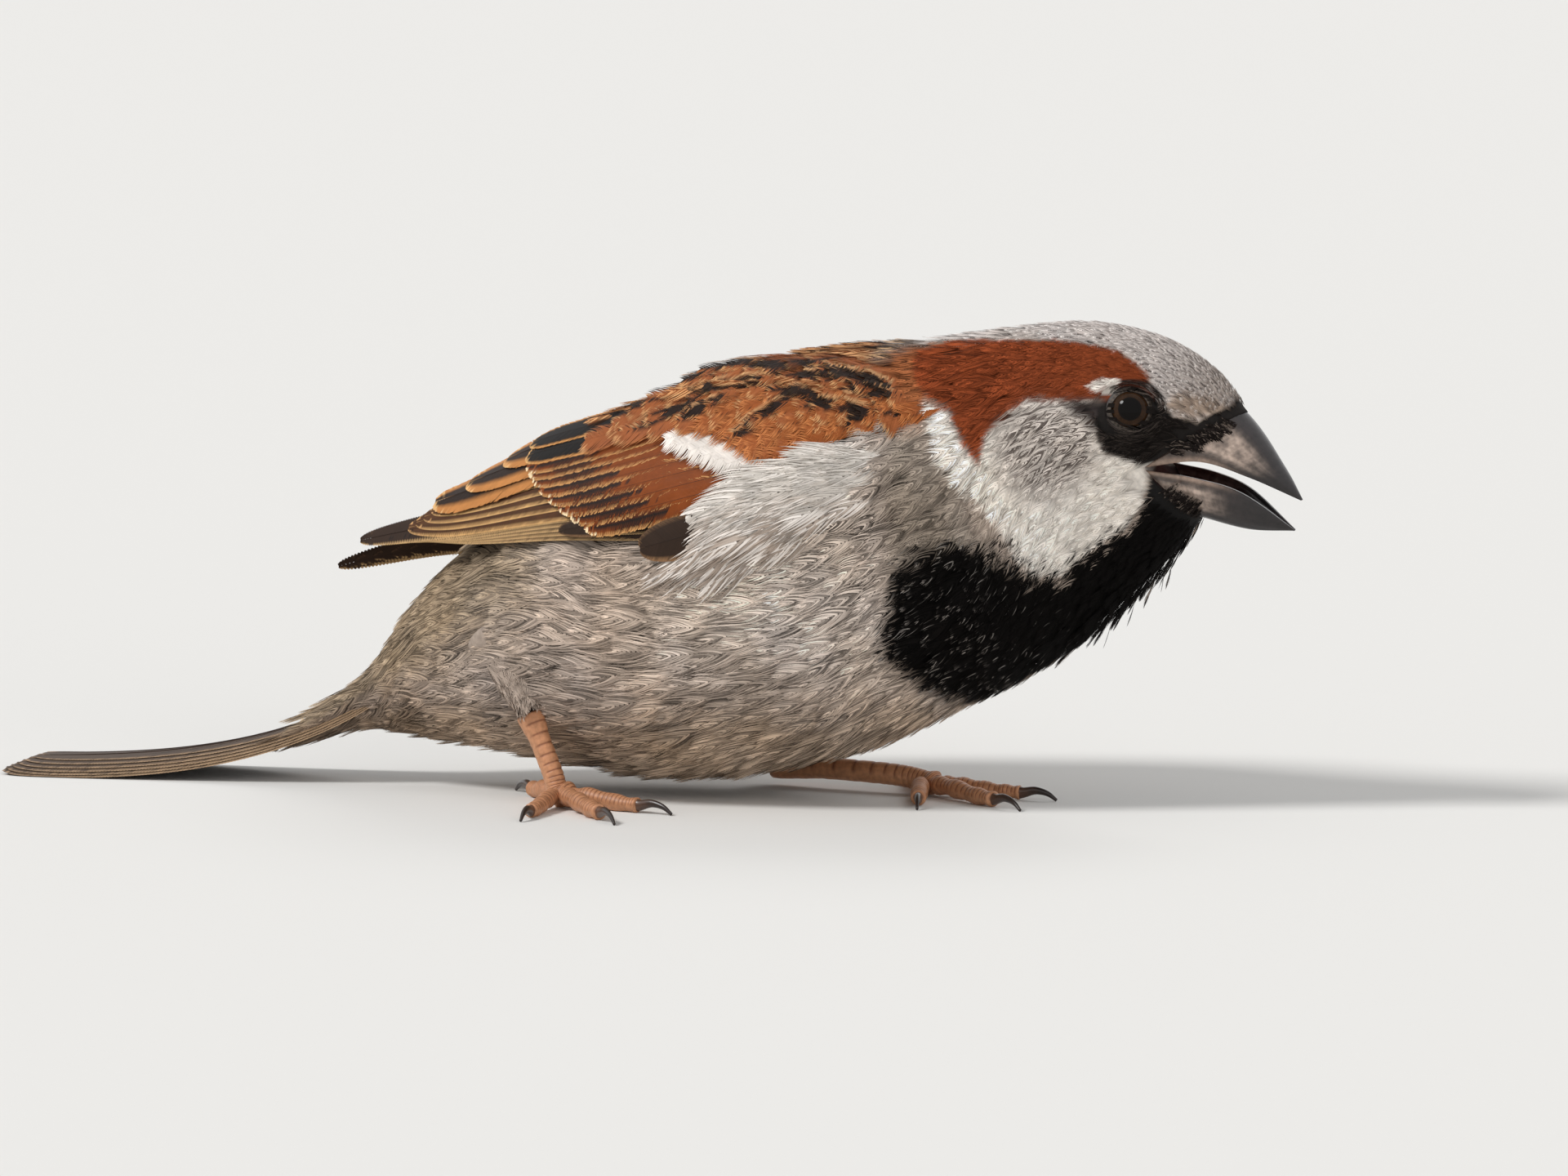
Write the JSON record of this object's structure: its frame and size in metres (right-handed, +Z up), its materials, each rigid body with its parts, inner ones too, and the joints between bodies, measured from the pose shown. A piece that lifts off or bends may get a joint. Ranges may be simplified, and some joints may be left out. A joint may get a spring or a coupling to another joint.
{
  "type": "male house sparrow model",
  "caption": "Life-size still model of a male house sparrow, crouching with its bill slightly open, wings folded and tail laid on the ground.",
  "frame": {"origin": "on the ground, under the middle of the whole bird seen from above", "axes": "+X ahead, towards the bill; +Y to the bird's left; +Z up"},
  "size_m": [0.151, 0.0552, 0.0543],
  "materials": {
    "head_feathers": "matte",
    "neck_feathers": "matte",
    "body_feathers": "matte",
    "rump_feathers": "matte",
    "wing_coverts": "satin",
    "flight_feathers": "satin",
    "tail_feathers": "satin",
    "bill_horn": "satin",
    "eye": "polished",
    "leg_skin": "satin",
    "claw_horn": "satin"
  },
  "bodies": {
    "root": {"head": "head_feathers", "neck": "neck_feathers", "trunk": "body_feathers", "thigh_right": "body_feathers", "thigh_left": "body_feathers", "rump": "rump_feathers", "wing_right_coverts": "wing_coverts", "wing_left_coverts": "wing_coverts", "wing_right_secondaries": "flight_feathers", "wing_right_primaries": "flight_feathers", "wing_left_secondaries": "flight_feathers", "wing_left_primaries": "flight_feathers", "tail": "tail_feathers", "bill_upper": "bill_horn", "bill_lower": "bill_horn", "eye_right": "eye", "eye_left": "eye", "tarsus_right": "leg_skin", "toe_right_hallux": "leg_skin", "claw_right_hallux": "claw_horn", "toe_right_inner": "leg_skin", "claw_right_inner": "claw_horn", "toe_right_middle": "leg_skin", "claw_right_middle": "claw_horn", "toe_right_outer": "leg_skin", "claw_right_outer": "claw_horn", "tarsus_left": "leg_skin", "toe_left_hallux": "leg_skin", "claw_left_hallux": "claw_horn", "toe_left_inner": "leg_skin", "claw_left_inner": "claw_horn", "toe_left_middle": "leg_skin", "claw_left_middle": "claw_horn", "toe_left_outer": "leg_skin", "claw_left_outer": "claw_horn"}
  },
  "joints": []
}
